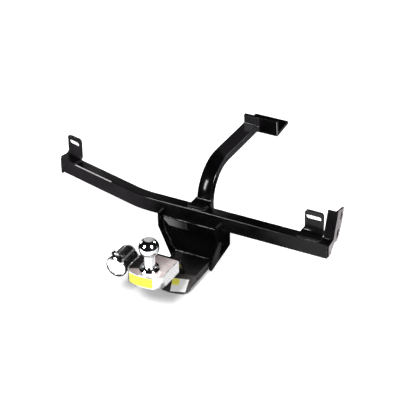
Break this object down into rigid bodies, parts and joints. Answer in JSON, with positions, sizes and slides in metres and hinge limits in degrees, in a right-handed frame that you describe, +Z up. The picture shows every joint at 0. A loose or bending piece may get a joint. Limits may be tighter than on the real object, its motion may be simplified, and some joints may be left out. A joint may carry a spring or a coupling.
{
  "type": "trailer hitch",
  "caption": "Black steel tow hitch: bent crossbar with slotted end brackets, curved rear arm, drop tongue, chrome coupling ball on a banded platform and an electrical socket with a spring lid.",
  "frame": {"origin": "centre of the coupling ball", "axes": "+Z up along the ball's shank, +Y forward to the vehicle, +X to the right along the crossbar"},
  "size_m": [0.7812, 0.5991, 0.2882],
  "materials": {
    "black_paint": "gloss black paint",
    "chrome": "mirror chrome",
    "bright_steel": "bright stainless sheet",
    "satin_steel": "satin stainless sheet",
    "zinc_steel": "zinc plated",
    "black_plastic": "black moulded plastic",
    "rubber": "black rubber",
    "brass": "plain brass"
  },
  "bodies": {
    "hitch": {"crossbar": "black_paint", "left_end_plate": "black_paint", "left_bracket": "black_paint", "right_tab_bracket": "black_paint", "right_end_bracket": "black_paint", "carrier_left_plate": "black_paint", "carrier_right_plate": "black_paint", "carrier_web": "black_paint", "carrier_rear_plate": "black_paint", "rear_arm": "black_paint", "arm_foot_plate": "black_paint", "rear_angle": "black_paint", "tongue": "black_paint", "ball_plate": "black_paint", "platform_cover": "satin_steel", "platform_band": "bright_steel", "hitch_ball": "chrome", "ball_lock_washer": "zinc_steel", "ball_nut": "zinc_steel", "socket_bracket": "zinc_steel", "socket_body": "black_plastic", "contact_insert": "black_plastic", "contact_pins": "brass", "lid_pin": "zinc_steel", "lid_spring": "zinc_steel", "socket_screws": "zinc_steel", "cable_gland": "rubber"},
    "lid": {"socket_lid": "chrome", "lid_gasket": "rubber"}
  },
  "joints": [
    {"name": "lid_hinge", "type": "hinge", "parent": "hitch", "child": "lid", "pos_m": [-0.085, -0.006, -0.0406], "axis": [-1, 0, 0], "range_deg": [0, 100], "stiffness_Nm_per_rad": 0.05, "springref_deg": -28.65}
  ]
}
